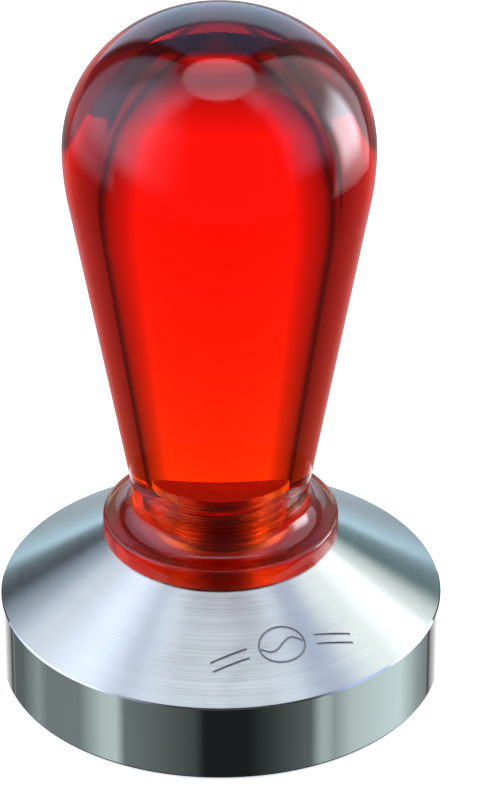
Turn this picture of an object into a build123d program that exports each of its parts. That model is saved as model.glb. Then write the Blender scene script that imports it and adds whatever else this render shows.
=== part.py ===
from build123d import *
import os
from math import cos, radians, sin, tan

# A hand tamper for ground coffee: a steel tamping base, a threaded stud locked into it, and a
# solid clear handle that screws down onto the stud over a small sealing ring.
# Millimetres. The origin is the centre of the flat tamping face, and +Z runs up the axis.

# Tamping base
BASE_R = 29.0
WALL_TOP = 10.7
SEAT_R = 15.0
SEAT_Z = 19.8
BASE_EDGE = 0.3
SHOULDER_BREAK = 0.15

# Screw thread, M10 x 1.5: flats of an eighth of the pitch on the crests, a quarter in the roots
PITCH = 1.5
FLANK = tan(radians(30))
CREST_FLAT = PITCH / 8
ROOT_FLAT = PITCH / 4
CREST_R = 5.0
ROOT_R = CREST_R - (PITCH - CREST_FLAT - ROOT_FLAT) / (2 * FLANK)
FIT_GAP = 0.07
RUN_OUT = 0.05

# Stud
STUD_Z = 8.5
STUD_LENGTH = 20.0
STUD_CHAMFER = 0.9
SLOT_WIDTH = 1.6
SLOT_DEPTH = 2.0

# Tapped holes
RELIEF_R = 5.3
BASE_RELIEF = 1.8
HANDLE_RELIEF = 1.2
BORE_END_Z = 29.4
TAP_TURNS = 6.5
TAP_STOP = 0.7

# Sealing ring, squeezed flat above and below
RING_WIRE = 1.2
RING_HEIGHT = 1.0
RING_MID_R = 5.95
RECESS_R = 6.8

# Handle
COLLAR_R = 15.4
COLLAR_TOP = 22.7
COLLAR_ROUND = 0.6
COLLAR_UNDERCUT = 0.2
COVE_R = 3.0
NECK_R = 11.44
NECK_Z = 26.0
TAPER = radians(10.2)
BULB_R = 19.82
BULB_Z = 75.9
SHOULDER_R = 17.65
CROWN_TURN = radians(75)

# Engraved ornament on the cone, a coffee bean between rules
ENGRAVING_TURN = -69.5
ENGRAVING_R = 22.2
ENGRAVING_DEPTH = 0.12
ENGRAVING_MARGIN = 1.0
LINE_WIDTH = 0.28
BEAN_LENGTH = 6.4
BEAN_WIDTH = 4.4
CREASE_LEAN = 0.9
RULE_INNER = 4.6
RULE_OUTER = 9.6
RULE_GAP = 1.1

# Every cutter stands this far clear of what it cuts
CLEAR = 1.0
FROM_BELOW = (Align.CENTER, Align.CENTER, Align.MIN)


def drum(radius, low, high):
    """A cylinder on the axis between two heights."""
    return Pos(0, 0, low) * Cylinder(radius, high - low, align=FROM_BELOW)


def turned(outline):
    """A closed outline in the (radius, height) plane, turned about the axis."""
    return revolve(Plane.XZ * make_face(outline), Axis.Z)


def helical_rib(inner_r, outer_r, inner_flat, outer_flat, start, end):
    """A trapezium carried up a helix about the axis. Its middle crosses +X at start."""
    path = Helix(pitch=PITCH, height=end - start, radius=(inner_r + outer_r) / 2, center=(0, 0, start))
    section = Polygon(
        (inner_r, start - inner_flat / 2),
        (outer_r, start - outer_flat / 2),
        (outer_r, start + outer_flat / 2),
        (inner_r, start + inner_flat / 2),
        align=None,
    )
    return sweep(Plane.XZ * section, path=path, is_frenet=True)


def thread_tap(start, end):
    """What a tap cuts past the drilled hole: the screw's rib, larger by the fit's gap."""
    inner_r = ROOT_R - RUN_OUT
    outer_r = CREST_R + FIT_GAP
    outer_flat = CREST_FLAT + 2 * FIT_GAP * (1 / cos(radians(30)) - FLANK)
    inner_flat = outer_flat + 2 * (outer_r - inner_r) * FLANK
    return helical_rib(inner_r, outer_r, inner_flat, outer_flat, start, end)


def chamfer_cutter(radius, size):
    """What a 45 degree chamfer takes off the upper end of a rod that ends at height 0."""
    collar = drum(radius + CLEAR, -size, CLEAR)
    cone = Pos(0, 0, -size) * Cone(radius, radius - size - CLEAR, size + CLEAR, align=FROM_BELOW)
    return collar - cone


def threaded_stud():
    """A headless screw in its own frame, with its lower end at height 0."""
    outer_r = CREST_R + RUN_OUT
    outer_flat = ROOT_FLAT + 2 * (outer_r - ROOT_R) * FLANK
    groove = helical_rib(ROOT_R, outer_r, ROOT_FLAT, outer_flat, -PITCH, STUD_LENGTH + PITCH)
    stud = drum(CREST_R, 0, STUD_LENGTH) - groove
    cutter = chamfer_cutter(CREST_R, STUD_CHAMFER)
    stud = stud - Pos(0, 0, STUD_LENGTH) * cutter
    stud = stud - mirror(cutter, Plane.XY)
    slot = Pos(0, 0, STUD_LENGTH) * Box(3 * CREST_R, SLOT_WIDTH, 2 * SLOT_DEPTH)
    return stud - slot


def ornament():
    """The engraved lines, flat, centred on the origin, with +Y towards the object's axis."""
    bean = Ellipse(BEAN_LENGTH / 2, BEAN_WIDTH / 2)
    bean = bean - Ellipse(BEAN_LENGTH / 2 - LINE_WIDTH, BEAN_WIDTH / 2 - LINE_WIDTH)
    half = BEAN_LENGTH / 2 - LINE_WIDTH / 2
    crease = Spline((-half, 0), (0, 0), (half, 0), tangents=[(1, CREASE_LEAN), (1, CREASE_LEAN)])
    marks = bean + trace(crease, LINE_WIDTH)
    length = RULE_OUTER - RULE_INNER
    for side in (-1, 1):
        for offset in (-RULE_GAP / 2, RULE_GAP / 2):
            rule = Pos(side * (RULE_INNER + length / 2), offset) * Rectangle(length, LINE_WIDTH)
            marks = marks + rule
    return marks


def engraving():
    """The ornament's grooves: its lines taken straight down through a skin of the cone."""
    slope = (SEAT_Z - WALL_TOP) / (BASE_R - SEAT_R)
    inner_r = SEAT_R + ENGRAVING_MARGIN
    outer_r = BASE_R - ENGRAVING_MARGIN
    inner_z = SEAT_Z - (inner_r - SEAT_R) * slope
    outer_z = SEAT_Z - (outer_r - SEAT_R) * slope
    skin = Polyline(
        (inner_r, inner_z - ENGRAVING_DEPTH),
        (outer_r, outer_z - ENGRAVING_DEPTH),
        (outer_r, outer_z + CLEAR),
        (inner_r, inner_z + CLEAR),
        close=True,
    )
    lines = Rot(0, 0, ENGRAVING_TURN) * Pos(ENGRAVING_R, 0) * Rot(0, 0, 90) * ornament()
    return extrude(Pos(0, 0, WALL_TOP) * lines, SEAT_Z) & turned(skin)


def tamping_base(mate_z):
    """The steel base. mate_z is the height at which the stud's frame starts."""
    outline = Polyline(
        (0, 0),
        (BASE_R - BASE_EDGE, 0),
        (BASE_R, BASE_EDGE),
        (BASE_R, WALL_TOP - SHOULDER_BREAK),
        (BASE_R - SHOULDER_BREAK, WALL_TOP + SHOULDER_BREAK / 2),
        (SEAT_R, SEAT_Z),
        (0, SEAT_Z),
        close=True,
    )
    blank = turned(outline) - engraving()
    base = Pos(0, 0, -mate_z) * blank
    mouth = SEAT_Z - mate_z
    base = base - drum(ROOT_R + FIT_GAP, 0, mouth + CLEAR)
    base = base - thread_tap(PITCH / 2, mouth + PITCH)
    return base - drum(RELIEF_R, 0, BASE_RELIEF)


def sealing_ring():
    """A rubber ring squeezed between the seat and the recess in the handle."""
    wire = Circle(RING_WIRE / 2) & Rectangle(2 * RING_WIRE, RING_HEIGHT)
    return revolve(Plane.XZ * (Pos(RING_MID_R, SEAT_Z + RING_HEIGHT / 2) * wire), Axis.Z)


def handle_blank():
    """The handle before it is bored: collar, cove, tapered grip and rounded head."""
    cove_r = NECK_R + (COLLAR_TOP + COVE_R - NECK_Z) * tan(TAPER) + COVE_R / cos(TAPER)
    cove_z = COLLAR_TOP + COVE_R
    cove_end = (cove_r - COVE_R * cos(TAPER), cove_z + COVE_R * sin(TAPER))
    # the lower bulb arc runs from the taper to the widest point without a corner
    excess = NECK_R + (BULB_Z - NECK_Z) * tan(TAPER) - BULB_R
    swell_r = excess * cos(TAPER) / (1 - cos(TAPER))
    swell_start = (BULB_R - swell_r * (1 - cos(TAPER)), BULB_Z - swell_r * sin(TAPER))
    # the crown's centre is on the axis, in line with the shoulder's centre where the arcs meet
    shoulder_mid = BULB_R - SHOULDER_R
    crown_start = (
        shoulder_mid + SHOULDER_R * cos(CROWN_TURN),
        BULB_Z + SHOULDER_R * sin(CROWN_TURN),
    )
    crown_r = SHOULDER_R + shoulder_mid / cos(CROWN_TURN)
    top = BULB_Z - shoulder_mid * tan(CROWN_TURN) + crown_r
    foot = (COLLAR_R - COLLAR_UNDERCUT, SEAT_Z)
    undercut_top = (COLLAR_R, SEAT_Z + COLLAR_UNDERCUT)
    round_start = (COLLAR_R, COLLAR_TOP - COLLAR_ROUND)
    round_end = (COLLAR_R - COLLAR_ROUND, COLLAR_TOP)
    outline = [
        Line((0, SEAT_Z), foot),
        Line(foot, undercut_top),
        Line(undercut_top, round_start),
        TangentArc(round_start, round_end, tangent=(0, 1)),
        Line(round_end, (cove_r, COLLAR_TOP)),
        TangentArc((cove_r, COLLAR_TOP), cove_end, tangent=(-1, 0)),
        Line(cove_end, swell_start),
        TangentArc(swell_start, (BULB_R, BULB_Z), tangent=(sin(TAPER), cos(TAPER))),
        TangentArc((BULB_R, BULB_Z), crown_start, tangent=(0, 1)),
        TangentArc(crown_start, (0, top), tangent=(-sin(CROWN_TURN), cos(CROWN_TURN))),
        Line((0, top), (0, SEAT_Z)),
    ]
    return turned(outline)


def handle(mate_z):
    """The solid clear handle. mate_z is the height at which the stud's frame starts."""
    body = Pos(0, 0, -mate_z) * handle_blank()
    mouth = SEAT_Z - mate_z
    end = BORE_END_Z - mate_z
    body = body - drum(ROOT_R + FIT_GAP, mouth - CLEAR, end)
    # the tap starts a whole number of turns from the stud's rib, so that the two are in phase
    body = body - thread_tap(PITCH * TAP_TURNS, end - TAP_STOP)
    body = body - drum(RELIEF_R, end - HANDLE_RELIEF, end)
    return body - drum(RECESS_R, mouth - CLEAR, mouth + RING_HEIGHT)


os.makedirs("parts", exist_ok=True)
to_place = Pos(0, 0, STUD_Z)
pieces = {
    "tamping_base": to_place * tamping_base(STUD_Z),
    "threaded_stud": to_place * threaded_stud(),
    "sealing_ring": sealing_ring(),
    "handle": to_place * handle(STUD_Z),
}
for name, solid in pieces.items():
    export_step(solid, f"parts/{name}.step")
    print(name, round(solid.volume, 1), len(solid.solids()), solid.is_valid)
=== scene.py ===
import math

import bmesh
import bpy
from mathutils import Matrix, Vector


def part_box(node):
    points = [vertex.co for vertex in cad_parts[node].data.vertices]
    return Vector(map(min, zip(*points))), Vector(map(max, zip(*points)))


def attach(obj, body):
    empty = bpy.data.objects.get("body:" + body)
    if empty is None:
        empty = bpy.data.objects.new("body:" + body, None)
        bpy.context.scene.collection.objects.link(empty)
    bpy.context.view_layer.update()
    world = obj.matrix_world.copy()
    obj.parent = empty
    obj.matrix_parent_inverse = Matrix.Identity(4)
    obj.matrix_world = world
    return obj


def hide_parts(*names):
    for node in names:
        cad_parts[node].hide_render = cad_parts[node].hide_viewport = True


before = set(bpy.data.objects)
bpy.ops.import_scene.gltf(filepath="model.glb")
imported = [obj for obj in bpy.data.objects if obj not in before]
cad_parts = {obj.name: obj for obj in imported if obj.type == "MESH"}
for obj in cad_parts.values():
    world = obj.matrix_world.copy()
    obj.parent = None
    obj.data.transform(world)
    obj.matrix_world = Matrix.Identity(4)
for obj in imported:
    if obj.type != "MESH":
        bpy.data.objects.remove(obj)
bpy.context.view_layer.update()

# Lengths are in millimetres up to MM, which turns them into the scene's metres.
MM = 0.001

# Mesh: columns round the axis; how close to a corner held() sets its points, and the run that is too
# short for them; how close two vertices merge, and the edge that counts as nothing, both in metres
AROUND = 256
HOLD = 0.03
SHORT_RUN = 8 * HOLD
MERGE = 1e-7
NO_EDGE = 1e-8

# Heights and radii that the CAD frame gives
SEAT_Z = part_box("handle")[0].z / MM
BASE_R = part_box("tamping_base")[1].y / MM
STUD_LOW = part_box("threaded_stud")[0].z / MM
STUD_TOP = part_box("threaded_stud")[1].z / MM

# Tamping base
WALL_TOP = 10.7
SEAT_R = 15.0
BASE_EDGE = 0.3
SHOULDER_BREAK = 0.15
CONE_SLOPE = (SEAT_Z - WALL_TOP) / (BASE_R - SEAT_R)
POLISH_DEPTH = 1.0

# Screw thread, M10 x 1.5. FIT_GAP is the clearance all over between the screw and its holes.
PITCH = 1.5
FLANK_TURN = math.radians(30)
FLANK = math.tan(FLANK_TURN)
CREST_FLAT = PITCH / 8
ROOT_FLAT = PITCH / 4
CREST_R = 5.0
ROOT_R = CREST_R - (PITCH - CREST_FLAT - ROOT_FLAT) / (2 * FLANK)
FIT_GAP = 0.07
EDGE_ROUND = 0.03
STUD_CHAMFER = 0.9
SLOT_WIDTH = 1.6
SLOT_DEPTH = 2.0

# Drilled ends of the tapped holes
RELIEF_R = 5.3
RELIEF_BREAK = 0.1
BASE_RELIEF = 1.8
HANDLE_RELIEF = 1.2
BORE_END = 29.4

# Handle
COLLAR_R = 15.4
COLLAR_TOP = 22.7
COLLAR_ROUND = 0.6
COLLAR_UNDERCUT = 0.2
COVE_R = 3.0
NECK_R = 11.44
NECK_Z = 26.0
TAPER = math.radians(10.2)
BULB_R = 19.82
BULB_Z = 75.9
SHOULDER_R = 17.65
CROWN_TURN = math.radians(75)
RECESS_R = 6.8
RECESS_HEIGHT = 1.0

# Sealing ring in the handle's recess, and the gap that keeps the handle and the ring off the steel
RING_WIDTH = 1.7
RING_ROUND = 0.3
SEAT_GAP = 0.03

# Engraved ornament on the cone: a coffee bean between two pairs of rules. The cutters reach from
# ENGRAVING_DEPTH under the cone's face to CUTTER_ABOVE over it.
ENGRAVING_TURN = math.radians(-69.5)
ENGRAVING_R = 22.2
ENGRAVING_DEPTH = 0.12
CUTTER_ABOVE = 0.5
LINE_WIDTH = 0.28
BEAN_LENGTH = 6.4
BEAN_WIDTH = 4.4
CREASE_SWING = 0.62
CREASE_INSET = 0.2
CREASE_STEPS = 24
RULE_INNER = 4.6
RULE_OUTER = 9.6
RULE_GAP = 1.1

# The camera, fitted to the outlines in the photo, in metres and degrees
CAMERA_AT = (0, -0.555, 0.3694)
CAMERA_DOWN = 30.732
CAMERA_RIGHT = 0.39607
CAMERA_LENS = 225.85
CAMERA_SENSOR = 36

# How often light may turn on its way through the handle
BOUNCES = 32

# The studio as directions from the object, in degrees: turn from the camera's side, to the right, and
# height above the level. Each panel is (left, right, low, high, softness across, softness up, colour),
# and lies over the ones before it.
DARK_STUDIO = (0.08, 0.08, 0.09)
PANELS = (
    # dim edge between the wall and the softbox on the right
    (136, 160, -24, 50, 3, 6, (0.16, 0.25, 0.27)),
    # grey-blue wall behind the object, darker higher up
    (-210, -155, -34, 28, 3, 3, (0.9, 1.3, 1.7)),
    (155, 210, -34, 28, 3, 3, (0.9, 1.3, 1.7)),
    (-210, -155, 28, 60, 3, 5, (0.3, 0.42, 0.7)),
    (155, 210, 28, 60, 3, 5, (0.3, 0.42, 0.7)),
    # softbox on the left with its spill
    (-140, -80, -16, 60, 3, 7, (0.6, 0.72, 0.95)),
    (-80, -38, -4, 50, 16, 12, (0.45, 0.5, 0.62)),
    (-118, -54, 56, 74, 14, 6, (0.95, 1.05, 1.45)),
    (-122, -62, 2, 58, 16, 10, (1.85, 2.05, 2.7)),
    # the part of it that the cone mirrors
    (-136, -112, 30, 60, 8, 6, (1.1, 1.17, 1.42)),
    # softbox on the right with its spill
    (58, 96, 2, 58, 14, 10, (0.75, 0.9, 1.5)),
    (52, 118, 56, 74, 14, 6, (1.0, 1.1, 1.45)),
    (90, 140, -24, 58, 3, 6, (1.55, 1.65, 1.8)),
    (98, 123, -11, 18, 5, 9, (9.5, 9.8, 10.8)),
)
# The panel overhead: the turn and height of its middle, how far it reaches from there, and its colour
OVERHEAD_TURN = math.radians(180)
OVERHEAD_HEIGHT = math.radians(86)
OVERHEAD_REACH = 20
OVERHEAD_SOFT = 2
OVERHEAD = (2.0, 2.25, 2.75)
# Light strips and flags low down round the object, which its polished wall mirrors: (turn, brightness)
LOW_TOP = -30
LOW_FOOT = -39
LOW_SOFT = 1.5
LOW_TINT = (0.84, 1.0, 0.99)
LOW_STRIPS = (
    (-180, 1.35), (-160, 1.35), (-156, 0.6), (-151, 0.15), (-128, 0.18), (-112, 0.42), (-104, 0.27),
    (-80, 0.29), (-65, 0.74), (-57, 0.77), (-52, 0.24), (-33, 0.17), (-14, 0.09), (-9, 0.02), (14, 0.02),
    (26, 0.06), (48, 0.17), (54, 0.62), (58, 0.6), (62, 0.46), (72, 0.75), (90, 0.88), (108, 0.97),
    (125, 0.48), (143, 0.2), (151, 0.3), (156, 0.9), (160, 1.35), (180, 1.35),
)
UNDER_DARK = (0.03, 0.03, 0.03)
# The pale table behind the object, which shows through the clear handle: (height, brightness)
BACK_TABLE = (
    (-90, 0.04), (-68, 0.05), (-65.5, 0.35), (-63.5, 1.0), (-61.5, 0.6), (-59.5, 0.5), (-57, 0.32),
    (-54, 0.28), (-52, 0.41), (-50, 0.6), (-46, 0.9), (-40, 1.3), (-9, 1.35), (0, 1.3),
)
BACK_TABLE_FULL = -11
BACK_TABLE_END = -5
# It dims to both sides, down to the dark gap between the wall and the softboxes: (turn, share). All of it
# lies GAP_SHIFT to the left. Below GAP_LEAN_FROM the gap leans in, by GAP_LEAN degrees for each one down.
GAP_TURN = 138.5
GAP_SHIFT = 1.5
GAP_LEAN = 0.55
GAP_LEAN_FROM = -40
BACK_SIDES = (
    (138.5, 0.27), (141.5, 0.07), (143, 0.09), (146, 0.32), (150, 0.48), (154, 0.66), (158, 0.97),
    (180, 1.0),
)
# The stage, in millimetres: the floor, and above it the parts of the lit table that the handle shows and
# mirrors, each by (turn to either side, brightness)
FLOOR_SIZE = 6000.0
TABLE_FAR = 900.0
GLOW_Z = 0.01
GLOW_NEAR = 85.0
GLOW_EDGE = 143
GLOW_TURNS = (
    (0, 0.11), (25, 0.13), (55, 0.45), (90, 0.95), (112, 1.3), (118, 1.1), (124, 0.75), (130, 0.55),
    (143, 0.3),
)
# The mirrored part starts at SHADE_NEAR, past what the camera sees the wall mirror. It ends at
# SHADE_SIDE_FAR, so that the softboxes reach down below the level, and past SHADE_BACK at TABLE_FAR.
SHADE_Z = 0.02
SHADE_NEAR = 47.0
SHADE_SIDE_FAR = 165.0
SHADE_BACK = 141
SHADE_TURNS = ((0, 0.04), (100, 0.07), (130, 0.12), (148, 0.26), (165, 0.42), (180, 0.45))
RAYS = ("camera", "diffuse", "glossy", "transmission", "shadow", "volume_scatter")


def arc(centre, radius, start, end, steps):
    """Points on a circle in the (radius, height) plane, both ends included."""
    points = []
    for i in range(steps + 1):
        turn = start + (end - start) * i / steps
        points.append((centre[0] + radius * math.cos(turn), centre[1] + radius * math.sin(turn)))
    return points


def held(outline):
    """Adds points close to both ends of each straight run, so that smooth shading stays flat along it."""
    points = [outline[0]]
    for one, other in zip(outline, outline[1:]):
        run = math.dist(one, other)
        if run > SHORT_RUN:
            for share in (HOLD / run, 1 - HOLD / run):
                points.append((one[0] + (other[0] - one[0]) * share, one[1] + (other[1] - one[1]) * share))
        points.append(other)
    return points


def add_piece(name, data):
    piece = bpy.data.objects.new(name, data)
    bpy.context.scene.collection.objects.link(piece)
    return piece


def turned_piece(name, column_at):
    """A closed skin about the axis. column_at(turn) is its outline at that turn, from axis to axis."""
    vertices, faces = [], []
    for i in range(AROUND + 1):
        turn = 2 * math.pi * i / AROUND
        column = column_at(turn)
        for r, z in column:
            vertices.append((r * math.cos(turn) * MM, r * math.sin(turn) * MM, z * MM))
    rows = len(vertices) // (AROUND + 1)
    for i in range(AROUND):
        for j in range(rows - 1):
            corner = i * rows + j
            faces.append((corner, corner + 1, corner + rows + 1, corner + rows))
    mesh = bpy.data.meshes.new(name)
    mesh.from_pydata(vertices, [], faces)
    work = bmesh.new()
    work.from_mesh(mesh)
    bmesh.ops.remove_doubles(work, verts=work.verts, dist=MERGE)
    bmesh.ops.dissolve_degenerate(work, edges=work.edges, dist=NO_EDGE)
    bmesh.ops.recalc_face_normals(work, faces=work.faces)
    work.to_mesh(mesh)
    work.free()
    return add_piece(name, mesh)


def smooth(piece, sharp_from=20):
    """Shades the piece smooth, with its real edges kept crisp."""
    mesh = piece.data
    mesh.shade_smooth()
    mesh.set_sharp_from_angle(angle=math.radians(sharp_from))


def crest_half(gap):
    """Half the height of a ridge's flat, where the whole thread stands gap outside the screw's."""
    return CREST_FLAT / 2 + gap * (1 / math.cos(FLANK_TURN) - FLANK)


def thread_radius(turn, z, gap):
    """The thread's surface at a turn and a height. gap is 0 for the screw and FIT_GAP for a hole."""
    share = ((z - STUD_LOW) / PITCH - turn / (2 * math.pi)) % 1.0
    away = abs(share - 0.5) * PITCH
    flank = CREST_R + gap - (away - crest_half(gap)) / FLANK
    return max(ROOT_R + gap, min(CREST_R + gap, flank))


def thread_rows(turn, low, high, gap):
    """(radius, height) points up a thread from low to high. They follow the helix, held between the ends."""
    crest = crest_half(gap)
    root = crest + (CREST_R - ROOT_R) * FLANK
    offsets = []
    for corner in (-root, -crest, crest, root):
        offsets += [corner - EDGE_ROUND, corner, corner + EDGE_ROUND]
    points = []
    first = math.floor((low - STUD_LOW) / PITCH) - 2
    last = math.ceil((high - STUD_LOW) / PITCH) + 1
    for ridge in range(first, last + 1):
        middle = STUD_LOW + (ridge + 0.5 + turn / (2 * math.pi)) * PITCH
        for offset in offsets:
            z = max(low, min(high, middle + offset))
            points.append((thread_radius(turn, z, gap), z))
    return points


def handle_outline():
    """The handle's outside, from the crown down to the collar's underside."""
    # The cove runs tangent from the grip's taper to the collar's top, and the swell from the taper to
    # the bulb's widest point.
    cove_r = NECK_R + (COLLAR_TOP + COVE_R - NECK_Z) * math.tan(TAPER) + COVE_R / math.cos(TAPER)
    excess = NECK_R + (BULB_Z - NECK_Z) * math.tan(TAPER) - BULB_R
    swell_r = excess * math.cos(TAPER) / (1 - math.cos(TAPER))
    shoulder_mid = BULB_R - SHOULDER_R
    crown_r = SHOULDER_R + shoulder_mid / math.cos(CROWN_TURN)
    crown_mid = BULB_Z - shoulder_mid * math.tan(CROWN_TURN)
    points = arc((0, crown_mid), crown_r, math.pi / 2, CROWN_TURN, steps=16)
    points += arc((shoulder_mid, BULB_Z), SHOULDER_R, CROWN_TURN, 0, steps=56)[1:]
    points += arc((BULB_R - swell_r, BULB_Z), swell_r, 0, -TAPER, steps=12)[1:]
    swell_end = points[-1]
    cove = arc((cove_r, COLLAR_TOP + COVE_R), COVE_R, math.pi - TAPER, 1.5 * math.pi, steps=28)
    grip_rows = 24
    for i in range(1, grip_rows):
        share = i / grip_rows
        r = swell_end[0] + (cove[0][0] - swell_end[0]) * share
        z = swell_end[1] + (cove[0][1] - swell_end[1]) * share
        points.append((r, z))
    points += cove
    rim = (COLLAR_R - COLLAR_ROUND, COLLAR_TOP - COLLAR_ROUND)
    points += arc(rim, COLLAR_ROUND, math.pi / 2, 0, steps=10)
    under = (COLLAR_R - COLLAR_UNDERCUT, SEAT_Z + SEAT_GAP + COLLAR_UNDERCUT)
    points += arc(under, COLLAR_UNDERCUT, 0, -math.pi / 2, steps=6)
    return points


def make_handle():
    outside = held(handle_outline())
    recess_roof = SEAT_Z + RECESS_HEIGHT

    def column(turn):
        bore = thread_rows(turn, recess_roof, BORE_END - HANDLE_RELIEF, FIT_GAP)
        inside = [(RECESS_R, SEAT_Z + SEAT_GAP), (RECESS_R, recess_roof)] + bore
        inside += [(RELIEF_R, BORE_END - HANDLE_RELIEF), (RELIEF_R, BORE_END - RELIEF_BREAK)]
        inside += [(RELIEF_R - RELIEF_BREAK, BORE_END), (0, BORE_END)]
        return outside + inside

    handle = turned_piece("clear_handle", column)
    finish_handle(handle)
    smooth(handle)
    return handle


def make_ring():
    low = SEAT_Z + SEAT_GAP
    high = SEAT_Z + RECESS_HEIGHT - SEAT_GAP
    mid_r = RECESS_R - RING_WIDTH / 2
    mid_z = (low + high) / 2
    to_side = RING_WIDTH / 2 - SEAT_GAP - RING_ROUND
    to_top = (high - low) / 2 - RING_ROUND
    quarter = math.pi / 2
    outline = []
    for i, (x, z) in enumerate(((1, 1), (-1, 1), (-1, -1), (1, -1))):
        centre = (mid_r + x * to_side, mid_z + z * to_top)
        outline += arc(centre, RING_ROUND, i * quarter, (i + 1) * quarter, steps=6)
    outline.append(outline[0])
    ring = turned_piece("rubber_ring", lambda turn: outline)
    ring.data.materials.append(rubber())
    smooth(ring, sharp_from=60)
    return ring


def cone_height(r):
    return SEAT_Z - (r - SEAT_R) * CONE_SLOPE


def make_base():
    foot = (BASE_R - BASE_EDGE, BASE_EDGE)
    outside = [(0, 0)] + arc(foot, BASE_EDGE, -math.pi / 2, 0, steps=6)
    outside += [(BASE_R, WALL_TOP - SHOULDER_BREAK)]
    cone_rows = 14
    for i in range(cone_rows + 1):
        r = BASE_R - SHOULDER_BREAK - (BASE_R - SHOULDER_BREAK - SEAT_R) * i / cone_rows
        outside.append((r, cone_height(r)))
    outside = held(outside)

    def column(turn):
        bore = thread_rows(turn, STUD_LOW + BASE_RELIEF, SEAT_Z, FIT_GAP)
        bore.reverse()
        end = [(RELIEF_R, STUD_LOW + BASE_RELIEF), (RELIEF_R, STUD_LOW), (0, STUD_LOW)]
        return outside + bore + end

    base = turned_piece("steel_base", column)
    finish_base(base)
    smooth(base)
    return base


def make_stud():
    def column(turn):
        points = [(0, STUD_LOW)]
        for r, z in thread_rows(turn, STUD_LOW, STUD_TOP, 0.0):
            end = min(z - STUD_LOW, STUD_TOP - z)
            points.append((min(r, CREST_R - STUD_CHAMFER + end), z))
        return points + [(0, STUD_TOP)]

    stud = turned_piece("steel_stud", column)
    colour = (0.6, 0.6, 0.58, 1.0)
    finish = steel("machined_steel", roughness=0.3, aniso=0.5, grooves=0.05, colour=colour)
    stud.data.materials.append(finish)
    work = bmesh.new()
    bmesh.ops.create_cube(work, size=1.0)
    bmesh.ops.scale(work, verts=work.verts, vec=(3 * CREST_R * MM, SLOT_WIDTH * MM, 2 * SLOT_DEPTH * MM))
    bmesh.ops.translate(work, verts=work.verts, vec=(0, 0, STUD_TOP * MM))
    cut(stud, cutter("slot", work, finish))
    smooth(stud)
    return stud


def cutter(name, work, material):
    """Makes a piece to cut with out of a bmesh, and frees the bmesh."""
    mesh = bpy.data.meshes.new(name)
    work.to_mesh(mesh)
    work.free()
    mesh.materials.append(material)
    return add_piece(name, mesh)


def cut(piece, other):
    """Takes the other piece away from this one and deletes it. Cut faces keep the other's material."""
    bpy.context.view_layer.objects.active = piece
    tool = piece.modifiers.new("cut", "BOOLEAN")
    tool.operation = "DIFFERENCE"
    tool.solver = "EXACT"
    tool.material_mode = "TRANSFER"
    tool.object = other
    bpy.ops.object.modifier_apply(modifier=tool.name)
    bpy.data.objects.remove(other)


def ribbon(work, line, closed):
    """Adds a groove's cutter along a line of (x, y) points, from under the cone's face to above it."""
    rings = []
    count = len(line)
    for i, point in enumerate(line):
        before = line[(i - 1) % count] if closed or i else point
        after = line[(i + 1) % count] if closed or i < count - 1 else point
        along = (Vector(after) - Vector(before)).normalized()
        side = Vector((-along.y, along.x)) * LINE_WIDTH / 2
        left, right = Vector(point) + side, Vector(point) - side
        ring = []
        for (x, y), lift in (
            (left, -ENGRAVING_DEPTH),
            (right, -ENGRAVING_DEPTH),
            (right, CUTTER_ABOVE),
            (left, CUTTER_ABOVE),
        ):
            z = cone_height(math.hypot(x, y)) + lift
            ring.append(work.verts.new((x * MM, y * MM, z * MM)))
        rings.append(ring)
    pairs = list(zip(rings, rings[1:]))
    if closed:
        pairs.append((rings[-1], rings[0]))
    for one, other in pairs:
        for k in range(4):
            work.faces.new((one[k], one[(k + 1) % 4], other[(k + 1) % 4], other[k]))
    if not closed:
        work.faces.new(rings[0][::-1])
        work.faces.new(rings[-1])


def ornament_lines():
    """The engraved lines, flat, as (points, closed), with +y towards the object's axis."""
    half_length = (BEAN_LENGTH - LINE_WIDTH) / 2
    half_width = (BEAN_WIDTH - LINE_WIDTH) / 2
    circle = arc((0, 0), half_length, 0, 2 * math.pi, steps=64)[:-1]
    outline = [(x, y * half_width / half_length) for x, y in circle]
    crease = []
    for i in range(CREASE_STEPS + 1):
        share = -1 + 2 * i / CREASE_STEPS
        crease.append((share * (half_length - CREASE_INSET), CREASE_SWING * math.sin(math.pi * share)))
    lines = [(outline, True), (crease, False)]
    for side in (-1, 1):
        for offset in (-RULE_GAP / 2, RULE_GAP / 2):
            lines.append(([(side * RULE_INNER, offset), (side * RULE_OUTER, offset)], False))
    return lines


def engrave(piece, material):
    """Cuts the ornament into the cone, one line at a time."""
    out_x, out_y = math.cos(ENGRAVING_TURN), math.sin(ENGRAVING_TURN)
    for line, closed in ornament_lines():
        placed = []
        for across, up in line:
            out = ENGRAVING_R - up
            placed.append((out * out_x - across * out_y, out * out_y + across * out_x))
        work = bmesh.new()
        ribbon(work, placed, closed)
        bmesh.ops.recalc_face_normals(work, faces=work.faces)
        cut(piece, cutter("engraving", work, material))


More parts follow.
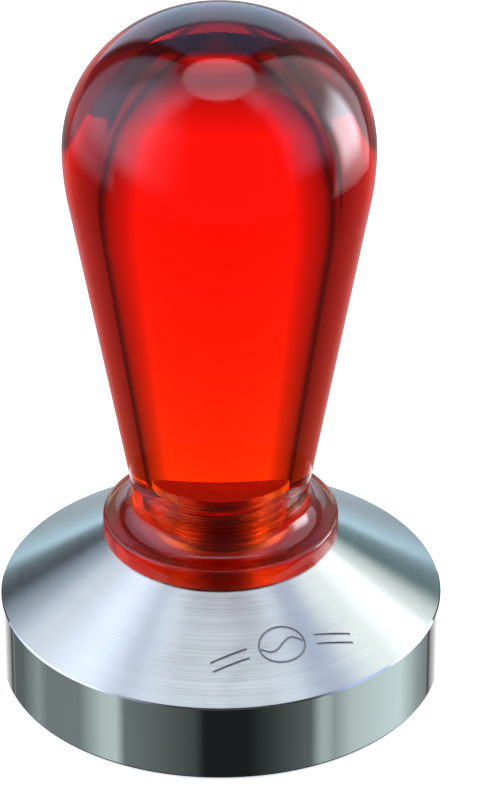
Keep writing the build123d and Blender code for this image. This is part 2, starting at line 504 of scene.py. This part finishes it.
class Shader:
    """A short way to write a material's nodes."""

    def __init__(self, tree):
        self.tree = tree
        tree.nodes.clear()

    def node(self, kind, settings=None, **inputs):
        """Adds a node. An input's name has _ for each space, and its value is a constant or a socket."""
        made = self.tree.nodes.new(kind)
        for key, value in (settings or {}).items():
            setattr(made, key, value)
        for key, value in inputs.items():
            self.put(made, key.replace("_", " "), value)
        return made

    def put(self, node, socket, value):
        target = node.inputs[socket]
        if isinstance(value, bpy.types.NodeSocket):
            self.tree.links.new(value, target)
        else:
            target.default_value = value

    def math(self, operation, *values):
        made = self.node("ShaderNodeMath", {"operation": operation})
        for i, value in enumerate(values):
            self.put(made, i, value)
        return made.outputs[0]

    def vector(self, operation, *values):
        made = self.node("ShaderNodeVectorMath", {"operation": operation})
        for i, value in enumerate(values):
            self.put(made, i, value)
        return made

    def ramp(self, value, low, high, to_low=0.0, to_high=1.0):
        """Goes smoothly from to_low at low to to_high at high."""
        ends = {"From_Min": low, "From_Max": high, "To_Min": to_low, "To_Max": to_high}
        made = self.node("ShaderNodeMapRange", {"interpolation_type": "SMOOTHSTEP"}, Value=value, **ends)
        return made.outputs[0]

    def band(self, value, low, high, soft):
        """1 between low and high and 0 outside, with edges that reach soft to either side."""
        rise = self.ramp(value, low - soft, low + soft)
        fall = self.ramp(value, high - soft, high + soft, 1.0, 0.0)
        return self.math("MULTIPLY", rise, fall)

    def blend(self, share, under, over):
        """A colour between two, each an (r, g, b) or a socket. share 0 gives the one under."""
        made = self.node("ShaderNodeMix", {"data_type": "RGBA"}, Factor=share)
        for colour, socket in ((under, 6), (over, 7)):
            self.put(made, socket, (*colour, 1.0) if isinstance(colour, tuple) else colour)
        return made.outputs[2]

    def steps(self, value, stops, low, high):
        """Reads brightness off a list of stops. A ramp holds 0 to 1, so it stores shares of the top one."""
        most = max(level for _, level in stops)
        share = self.node("ShaderNodeMapRange", Value=value, From_Min=low, From_Max=high)
        ramp = self.node("ShaderNodeValToRGB", Fac=share.outputs[0])
        points = ramp.color_ramp.elements
        for i, (at, level) in enumerate(stops):
            point = points[i] if i < 2 else points.new(1.0)
            point.position = (at - low) / (high - low)
            shade = level / most
            point.color = (shade, shade, shade, 1.0)
        return self.math("MULTIPLY", ramp.outputs["Color"], most)


def new_material(name):
    material = bpy.data.materials.new(name)
    material.use_nodes = True
    return material, Shader(material.node_tree)


def place(s):
    """Where on its piece a point lies, in metres."""
    return s.node("ShaderNodeTexCoord").outputs["Object"]


def split(s, vector):
    xyz = s.node("ShaderNodeSeparateXYZ", Vector=vector)
    return xyz.outputs["X"], xyz.outputs["Y"], xyz.outputs["Z"]


def turn_of(s, x, y):
    """The turn of a direction from the camera's side, to the right, in degrees."""
    return s.math("DEGREES", s.math("ARCTAN2", x, s.math("MULTIPLY", y, -1.0)))


def noise(s, where, **settings):
    return s.node("ShaderNodeTexNoise", Vector=where, **settings).outputs["Fac"]


def lathe_lines(s, scale):
    """Noise that runs in circles round the axis, as the marks of turning do."""
    x, y, z = split(s, place(s))
    r = s.math("SQRT", s.math("ADD", s.math("POWER", x, 2.0), s.math("POWER", y, 2.0)))
    rings = s.node("ShaderNodeCombineXYZ", X=r, Y=z)
    return noise(s, rings.outputs[0], Scale=scale, Detail=3.0)


def smudges(s, scale):
    """Soft patches, as handling leaves them."""
    return noise(s, place(s), Scale=scale, Detail=4.0, Distortion=0.6)


def acrylic(name, smooth_to, rough_to, bump):
    """Clear red acrylic, with its red in its depth and its roughness between smooth_to and rough_to."""
    material, s = new_material(name)
    rough = s.ramp(smudges(s, 300.0), 0.45, 0.75, smooth_to, rough_to)
    relief = s.node("ShaderNodeBump", Strength=bump, Distance=0.00001, Height=lathe_lines(s, 5000.0))
    skin = s.node(
        "ShaderNodeBsdfPrincipled",
        Base_Color=(1.0, 0.97, 0.96, 1.0),
        Roughness=rough,
        IOR=1.49,
        Transmission_Weight=1.0,
        Normal=relief.outputs[0],
    )
    tint = s.node("ShaderNodeVolumeAbsorption", Color=(0.9925, 0.635, 0.05, 1.0), Density=400.0)
    s.node("ShaderNodeOutputMaterial", Surface=skin.outputs[0], Volume=tint.outputs[0])
    return material


def steel(name, roughness, aniso, grooves, colour):
    """Stainless steel with turning marks, which spread its reflections across the marks."""
    material, s = new_material(name)
    lines = lathe_lines(s, 9000.0)
    worn = s.math("MULTIPLY", s.ramp(smudges(s, 120.0), 0.35, 0.75, 0.94, 1.1), roughness)
    rough = s.math("MULTIPLY", s.ramp(lines, 0.3, 0.7, 0.88, 1.15), worn)
    bump = s.node("ShaderNodeBump", Strength=grooves, Distance=0.00002, Height=lines)
    tangent = s.node("ShaderNodeTangent", settings={"direction_type": "RADIAL", "axis": "Z"})
    skin = s.node(
        "ShaderNodeBsdfPrincipled",
        Base_Color=colour,
        Metallic=1.0,
        Roughness=rough,
        Anisotropic=aniso,
        Anisotropic_Rotation=0.25,
        Normal=bump.outputs[0],
        Tangent=tangent.outputs[0],
    )
    s.node("ShaderNodeOutputMaterial", Surface=skin.outputs[0])
    return material


def rubber():
    """Pale silicone rubber with a fine moulded grain."""
    material, s = new_material("silicone")
    grain = noise(s, place(s), Scale=4000.0, Detail=3.0)
    worn = s.ramp(smudges(s, 500.0), 0.3, 0.7)
    relief = s.node("ShaderNodeBump", Strength=0.4, Distance=0.00002, Height=grain)
    skin = s.node(
        "ShaderNodeBsdfPrincipled",
        Base_Color=s.blend(worn, (0.44, 0.44, 0.42), (0.56, 0.56, 0.53)),
        Roughness=s.ramp(grain, 0.3, 0.7, 0.42, 0.6),
        Normal=relief.outputs[0],
    )
    s.node("ShaderNodeOutputMaterial", Surface=skin.outputs[0])
    return material


def mark():
    """The etched floor of the engraving, matt and a little darker than the steel round it."""
    material, s = new_material("engraved_steel")
    etch = noise(s, place(s), Scale=7000.0, Detail=4.0)
    relief = s.node("ShaderNodeBump", Strength=0.5, Distance=0.00001, Height=etch)
    skin = s.node(
        "ShaderNodeBsdfPrincipled",
        Base_Color=s.blend(s.ramp(etch, 0.3, 0.7), (0.26, 0.27, 0.27), (0.42, 0.43, 0.43)),
        Metallic=0.9,
        Roughness=s.ramp(etch, 0.3, 0.7, 0.45, 0.65),
        Normal=relief.outputs[0],
    )
    s.node("ShaderNodeOutputMaterial", Surface=skin.outputs[0])
    return material


def finish_handle(handle):
    """Polishes the outside. The holes and the seat are left as cut, and the bore's end as drilled."""
    for finish in (
        acrylic("clear_red_acrylic", smooth_to=0.0, rough_to=0.03, bump=0.01),
        acrylic("cut_red_acrylic", smooth_to=0.3, rough_to=0.45, bump=0.12),
        acrylic("drilled_red_acrylic", smooth_to=0.65, rough_to=0.85, bump=0.4),
    ):
        handle.data.materials.append(finish)
    as_cut, as_drilled = 1, 2
    for face in handle.data.polygons:
        r, z = math.hypot(face.center.x, face.center.y) / MM, face.center.z / MM
        if r < RECESS_R + HOLD and z < BORE_END + HOLD:
            face.material_index = as_drilled if z > BORE_END - HOLD else as_cut
        elif z < SEAT_Z + SEAT_GAP + HOLD:
            face.material_index = as_cut


def finish_base(base):
    """Turned all over and engraved, with the wall polished."""
    cone, wall = (0.57, 0.585, 0.525, 1.0), (0.64, 0.66, 0.66, 1.0)
    for finish in (
        steel("turned_steel", roughness=0.23, aniso=1.0, grooves=0.05, colour=cone),
        steel("polished_steel", roughness=0.035, aniso=0.2, grooves=0.002, colour=wall),
    ):
        base.data.materials.append(finish)
    polished = 1
    engrave(base, mark())
    for face in base.data.polygons:
        r, z = math.hypot(face.center.x, face.center.y) / MM, face.center.z / MM
        if z < WALL_TOP and r > BASE_R - POLISH_DEPTH:
            face.material_index = polished


def softboxes(s, turn, height):
    """The panels, each laid over the ones before it."""
    light = DARK_STUDIO
    for left, right, low, high, across, up, colour in PANELS:
        mask = s.math("MULTIPLY", s.band(turn, left, right, across), s.band(height, low, high, up))
        light = s.blend(mask, light, colour)
    return light


def overhead(s, way, light):
    """Lays the panel overhead over the light."""
    out, up = math.cos(OVERHEAD_HEIGHT), math.sin(OVERHEAD_HEIGHT)
    middle = (out * math.sin(OVERHEAD_TURN), -out * math.cos(OVERHEAD_TURN), up)
    off = s.math("DEGREES", s.math("ARCCOSINE", s.vector("DOT_PRODUCT", way, middle).outputs["Value"]))
    mask = s.ramp(off, OVERHEAD_REACH + OVERHEAD_SOFT, OVERHEAD_REACH - OVERHEAD_SOFT)
    return s.blend(mask, light, OVERHEAD)


def low_strips(s, turn, height, light):
    """Lays the dark under the object over the light, and the low strips over that."""
    strips = s.vector("SCALE", LOW_TINT)
    s.put(strips, "Scale", s.steps(turn, LOW_STRIPS, -180, 180))
    light = s.blend(s.ramp(height, LOW_TOP + 1, LOW_TOP - 2), light, UNDER_DARK)
    return s.blend(s.band(height, LOW_FOOT, LOW_TOP, LOW_SOFT), light, strips.outputs[0])


def back_table(s, turn, height, light):
    """Lays the table behind the object over the light."""
    away = s.math("ABSOLUTE", s.math("ADD", turn, GAP_SHIFT))
    below = s.math("MINIMUM", s.math("SUBTRACT", height, GAP_LEAN_FROM), 0.0)
    across = s.math("ADD", away, s.math("MULTIPLY", below, GAP_LEAN))
    sides = s.steps(across, BACK_SIDES, GAP_TURN, 180)
    table = s.math("MULTIPLY", s.steps(height, BACK_TABLE, -90, 0), sides)
    beyond = s.ramp(away, GAP_TURN - 1, GAP_TURN + 1)
    mask = s.math("MULTIPLY", beyond, s.ramp(height, BACK_TABLE_END, BACK_TABLE_FULL))
    return s.blend(mask, light, table)


def world_light():
    """The studio, as the shiny surfaces mirror it and the clear handle shows it."""
    world = bpy.data.worlds.new("studio")
    bpy.context.scene.world = world
    world.use_nodes = True
    s = Shader(world.node_tree)
    way = s.node("ShaderNodeTexCoord").outputs["Generated"]
    x, y, z = split(s, way)
    turn = turn_of(s, x, y)
    height = s.math("DEGREES", s.math("ARCSINE", z))
    light = overhead(s, way, softboxes(s, turn, height))
    light = low_strips(s, turn, height, light)
    light = back_table(s, turn, height, light)
    sky = s.node("ShaderNodeBackground", Color=light)
    s.node("ShaderNodeOutputWorld", Surface=sky.outputs[0])


def stage_piece(name, corners, faces, material):
    mesh = bpy.data.meshes.new(name)
    mesh.from_pydata([(x * MM, y * MM, z * MM) for x, y, z in corners], [], faces)
    mesh.materials.append(material)
    piece = add_piece(name, mesh)
    return piece


def make_floor():
    """A pale floor, which no shiny surface mirrors and the handle does not show."""
    material, s = new_material("pale_floor")
    skin = s.node("ShaderNodeBsdfDiffuse", Color=(0.9, 0.9, 0.9, 1.0))
    light = s.node("ShaderNodeEmission", Color=(1.0, 1.0, 1.0, 1.0), Strength=0.55)
    both = s.node("ShaderNodeAddShader")
    s.put(both, 0, skin.outputs[0])
    s.put(both, 1, light.outputs[0])
    s.node("ShaderNodeOutputMaterial", Surface=both.outputs[0])
    half = FLOOR_SIZE / 2
    corners = [(-half, -half, 0), (half, -half, 0), (half, half, 0), (-half, half, 0)]
    floor = stage_piece("floor", corners, [(0, 1, 2, 3)], material)
    floor.visible_glossy = False
    floor.visible_transmission = False


def table_light(name, turns, last):
    """A table's own brightness by its turn to either side of the camera's."""
    material, s = new_material(name)
    x, y, _ = split(s, place(s))
    light = s.steps(s.math("ABSOLUTE", turn_of(s, x, y)), turns, 0, last)
    glow = s.node("ShaderNodeEmission", Color=(1.0, 1.0, 1.0, 1.0), Strength=light)
    s.node("ShaderNodeOutputMaterial", Surface=glow.outputs[0])
    material.cycles.emission_sampling = "NONE"
    return material


def table_part(name, turns, last, near, far_at, height, columns, seen_by):
    """The lit table from -last to last degrees and from near to far_at(turn), for one kind of ray only."""
    corners, faces = [], []
    for i in range(columns + 1):
        turn = last * (2 * i / columns - 1)
        x, y = math.sin(math.radians(turn)), -math.cos(math.radians(turn))
        for r in (near, far_at(turn)):
            corners.append((r * x, r * y, height))
    for i in range(0, 2 * columns, 2):
        faces.append((i, i + 1, i + 3, i + 2))
    table = stage_piece(name, corners, faces, table_light(name, turns, last))
    for ray in RAYS:
        if ray != seen_by:
            setattr(table, "visible_" + ray, False)


def make_shade():
    """The lit table as shiny surfaces mirror it."""

    def far_at(turn):
        return TABLE_FAR if abs(turn) > SHADE_BACK else SHADE_SIDE_FAR

    table_part("shade", SHADE_TURNS, 180, SHADE_NEAR, far_at, SHADE_Z, columns=96, seen_by="glossy")


def make_glow():
    """The lit table at the front and sides, as the clear handle shows it."""

    def far_at(turn):
        return TABLE_FAR

    table_part("glow", GLOW_TURNS, GLOW_EDGE, GLOW_NEAR, far_at, GLOW_Z, columns=72, seen_by="transmission")


def make_camera():
    data = bpy.data.cameras.new("camera")
    data.lens = CAMERA_LENS
    data.sensor_width = CAMERA_SENSOR
    camera = add_piece("camera", data)
    camera.location = CAMERA_AT
    camera.rotation_euler = (math.radians(90 - CAMERA_DOWN), 0, -math.radians(CAMERA_RIGHT))
    bpy.context.scene.camera = camera


handle = make_handle()
base = make_base()
stud = make_stud()
ring = make_ring()

for piece, body, node, slot in (
    (handle, "handle", "handle", "handle_acrylic"),
    (base, "base", "tamping_base", "base_steel"),
    (stud, "base", "threaded_stud", "stud_steel"),
    (ring, "ring", "sealing_ring", "ring_rubber"),
):
    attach(piece, body)
    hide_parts(node)

make_floor()
make_shade()
make_glow()
world_light()
make_camera()
scene = bpy.context.scene
scene.view_settings.view_transform = "Standard"
for kind in ("max", "glossy", "transmission"):
    setattr(scene.cycles, kind + "_bounces", BOUNCES)
